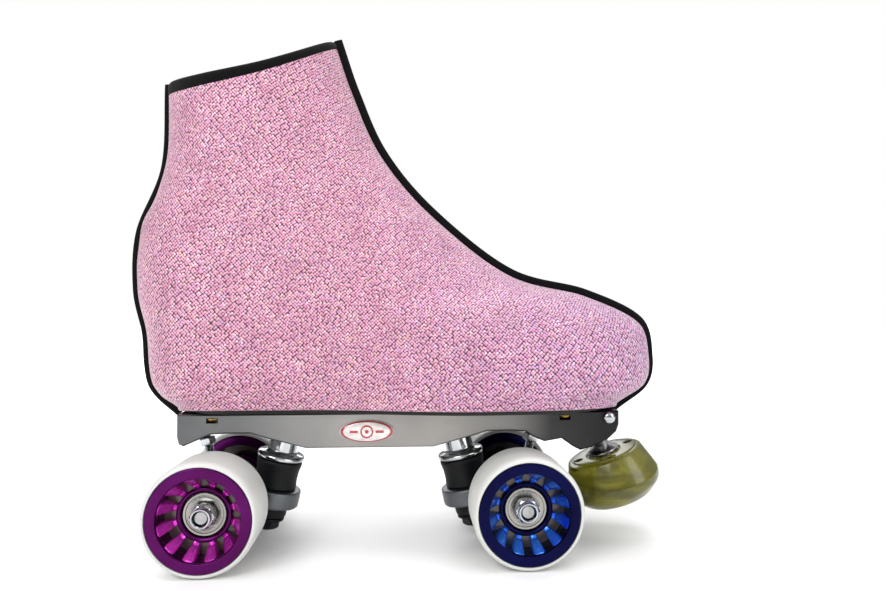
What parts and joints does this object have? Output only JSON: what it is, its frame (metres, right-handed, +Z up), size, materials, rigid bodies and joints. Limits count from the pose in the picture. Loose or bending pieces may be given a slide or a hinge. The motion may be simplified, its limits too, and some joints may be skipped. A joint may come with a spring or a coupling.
{
  "type": "quad roller skate",
  "caption": "Quad roller skate: boot in a fabric cover on a channel plate, with steering trucks, wheels and a height-adjustable toe stop.",
  "frame": {"origin": "on the floor under the middle of the skate's overall box", "axes": "+X towards the toe, +Y towards the inner side of the foot (right skate), +Z up"},
  "size_m": [0.3018, 0.116, 0.2873],
  "materials": {
    "cast_metal": "satin cast, lightly polished",
    "badge_enamel": "clear domed resin over a pale oval with a red rim",
    "chrome": "bright plated",
    "brass": "plated, slightly dull",
    "sole_rubber": "matt",
    "boot_leather": "smooth, semi-matt",
    "boot_lining": "brushed textile",
    "glitter_fabric": "stretch fabric with small pink glitter dots",
    "black_binding": "folded black tape",
    "steel": "bright turned steel",
    "black_urethane": "matt black cushions",
    "white_urethane": "semi-gloss cast urethane",
    "rear_hub": "metallised magenta",
    "front_hub": "metallised blue",
    "olive_urethane": "translucent olive-yellow urethane"
  },
  "bodies": {
    "plate_and_boot": {"base_plate": "cast_metal", "plate_badge": "badge_enamel", "toe_stop_clamp_screw": "chrome", "mounting_screw_rear_right": "brass", "mounting_screw_rear_left": "brass", "mounting_screw_front_right": "brass", "mounting_screw_front_left": "brass", "outsole": "sole_rubber", "boot_upper": "boot_leather", "tongue": "boot_leather", "boot_lining": "boot_lining", "insole": "boot_lining", "cover_panel_right": "glitter_fabric", "cover_panel_left": "glitter_fabric", "cover_front_seam": "black_binding", "cover_back_seam": "black_binding", "cover_collar_binding": "black_binding", "rear_kingpin": "steel", "rear_lower_washer": "steel", "rear_kingpin_nut": "steel", "rear_pivot_pin": "steel", "rear_adjuster_cup": "chrome", "rear_pivot_locknut": "chrome", "rear_upper_cushion": "black_urethane", "rear_lower_cushion": "black_urethane", "front_kingpin": "steel", "front_lower_washer": "steel", "front_kingpin_nut": "steel", "front_pivot_pin": "steel", "front_adjuster_cup": "chrome", "front_pivot_locknut": "chrome", "front_upper_cushion": "black_urethane", "front_lower_cushion": "black_urethane"},
    "toe_stop_unit": {"toe_stop": "olive_urethane", "toe_stop_stem": "steel"},
    "rear_truck": {"rear_truck_hanger": "cast_metal", "rear_axle": "steel", "rear_right_axle_nut": "chrome", "rear_left_axle_nut": "chrome"},
    "rear_right_wheel": {"rear_right_tyre": "white_urethane", "rear_right_hub": "rear_hub", "rear_right_outer_bearing": "steel", "rear_right_inner_bearing": "steel"},
    "rear_left_wheel": {"rear_left_tyre": "white_urethane", "rear_left_hub": "rear_hub", "rear_left_outer_bearing": "steel", "rear_left_inner_bearing": "steel"},
    "front_truck": {"front_truck_hanger": "cast_metal", "front_axle": "steel", "front_right_axle_nut": "chrome", "front_left_axle_nut": "chrome"},
    "front_right_wheel": {"front_right_tyre": "white_urethane", "front_right_hub": "front_hub", "front_right_outer_bearing": "steel", "front_right_inner_bearing": "steel"},
    "front_left_wheel": {"front_left_tyre": "white_urethane", "front_left_hub": "front_hub", "front_left_outer_bearing": "steel", "front_left_inner_bearing": "steel"}
  },
  "joints": [
    {"name": "rear_truck_steer", "type": "hinge", "parent": "plate_and_boot", "child": "rear_truck", "pos_m": [-0.072, 0, 0.026], "axis": [0.8797, 0, -0.4755], "range_deg": [-8, 8], "stiffness_Nm_per_rad": 25, "deforming": ["rear_upper_cushion", "rear_lower_cushion"]},
    {"name": "rear_right_wheel_spin", "type": "hinge", "parent": "rear_truck", "child": "rear_right_wheel", "pos_m": [-0.0968, -0.0425, 0.02836], "axis": [0, 1, 0], "continuous": true},
    {"name": "rear_left_wheel_spin", "type": "hinge", "parent": "rear_truck", "child": "rear_left_wheel", "pos_m": [-0.0968, 0.0425, 0.02836], "axis": [0, 1, 0], "continuous": true},
    {"name": "front_truck_steer", "type": "hinge", "parent": "plate_and_boot", "child": "front_truck", "pos_m": [0.0404, 0, 0.026], "axis": [-0.8797, 0, -0.4755], "range_deg": [-8, 8], "stiffness_Nm_per_rad": 25, "deforming": ["front_upper_cushion", "front_lower_cushion"]},
    {"name": "front_right_wheel_spin", "type": "hinge", "parent": "front_truck", "child": "front_right_wheel", "pos_m": [0.0652, -0.0425, 0.02836], "axis": [0, 1, 0], "continuous": true},
    {"name": "front_left_wheel_spin", "type": "hinge", "parent": "front_truck", "child": "front_left_wheel", "pos_m": [0.0652, 0.0425, 0.02836], "axis": [0, 1, 0], "continuous": true},
    {"name": "toe_stop_height", "type": "slide", "parent": "plate_and_boot", "child": "toe_stop_unit", "axis": [0.342, 0, -0.9397], "range_m": [0, 0.008]}
  ]
}
